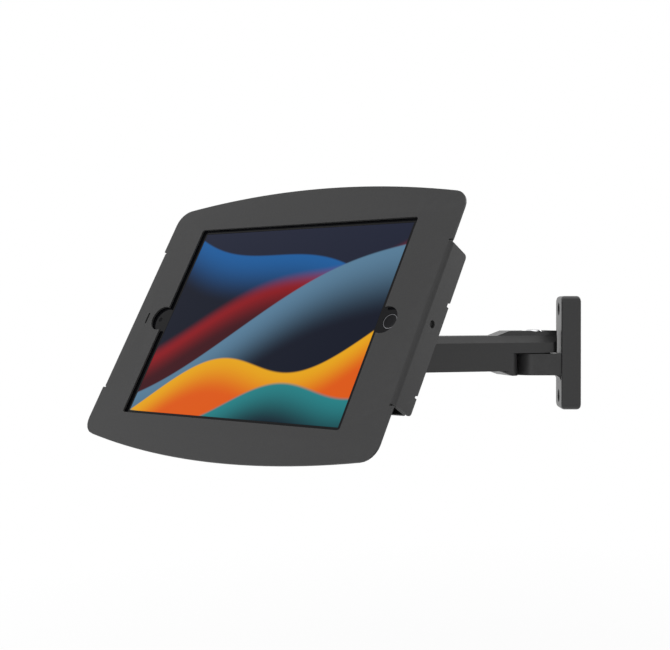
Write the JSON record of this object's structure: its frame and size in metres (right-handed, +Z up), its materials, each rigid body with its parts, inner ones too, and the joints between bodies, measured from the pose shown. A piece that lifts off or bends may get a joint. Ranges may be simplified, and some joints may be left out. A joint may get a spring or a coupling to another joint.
{
  "type": "tablet security enclosure",
  "caption": "Lockable black metal tablet enclosure with a curved front frame, on a jointed wall swing arm with a tilting square mounting plate.",
  "frame": {"origin": "centre of the wall plate's back face, where the product meets the wall", "axes": "+Y points into the wall, along the back face's normal; +Z is up; the arm reaches towards -Y and, in the stored pose, a little towards +X"},
  "size_m": [0.2588, 0.3801, 0.1932],
  "materials": {
    "cast_black": "satin black powder coat on cast metal",
    "powder_coat_black": "fine matt black powder coat on folded sheet",
    "bright_steel": "bright",
    "black_steel": "black oxide",
    "friction_washer": "matt",
    "lock_chrome": "polished",
    "tablet_aluminium": "anodised dark grey",
    "black_glass": "black printed glass, polished",
    "display": "lit screen with a coloured background picture",
    "foam": "closed-cell foam"
  },
  "bodies": {
    "wall": {"wall_bracket": "cast_black", "base_pivot_bolt": "bright_steel", "base_friction_washer": "friction_washer", "base_lock_nut": "bright_steel"},
    "swing_arm": {"arm": "cast_black", "elbow_pivot_bolt": "bright_steel", "elbow_friction_washer": "friction_washer", "elbow_lock_nut": "bright_steel"},
    "head": {"swivel_head": "cast_black", "tilt_bolt": "black_steel", "tilt_nut": "black_steel"},
    "enclosure": {"mounting_plate": "cast_black", "mounting_screw_1": "bright_steel", "mounting_screw_2": "bright_steel", "mounting_screw_3": "bright_steel", "mounting_screw_4": "bright_steel", "mounting_nut_1": "bright_steel", "mounting_nut_2": "bright_steel", "mounting_nut_3": "bright_steel", "mounting_nut_4": "bright_steel", "rear_tray": "powder_coat_black", "front_bezel": "powder_coat_black", "tablet_shell": "tablet_aluminium", "tablet_glass": "black_glass", "tablet_display": "display", "front_camera_lens": "black_glass", "rear_camera_lens": "black_glass", "foam_pad_1": "foam", "foam_pad_2": "foam", "foam_pad_3": "foam", "foam_pad_4": "foam", "lock_housing": "lock_chrome", "lock_nut": "bright_steel"},
    "lock_core": {"lock_plug": "lock_chrome", "lock_cam": "bright_steel"},
    "button": {"home_button": "black_glass"}
  },
  "joints": [
    {"name": "arm_swing", "type": "hinge", "parent": "wall", "child": "swing_arm", "pos_m": [0, -0.0355, 0], "axis": [0, 0, 1], "range_deg": [-108.9, 71.1]},
    {"name": "head_swing", "type": "hinge", "parent": "swing_arm", "child": "head", "pos_m": [0.04924, -0.1793, 0], "axis": [0, 0, 1], "range_deg": [-122, 58]},
    {"name": "tilt", "type": "hinge", "parent": "head", "child": "enclosure", "pos_m": [0.08493, -0.20832, 0.0035], "axis": [0.6307, 0.776, 0], "range_deg": [-29.5, 60.5]},
    {"name": "lock_turn", "type": "hinge", "parent": "enclosure", "child": "lock_core", "pos_m": [0.01869, -0.34687, 0.02144], "axis": [-0.6307, -0.776, 0], "range_deg": [0, 90]},
    {"name": "home_press", "type": "slide", "parent": "enclosure", "child": "button", "axis": [-0.6687, 0.5434, -0.5075], "range_m": [0, 0.0004], "stiffness_N_per_m": 3000}
  ]
}
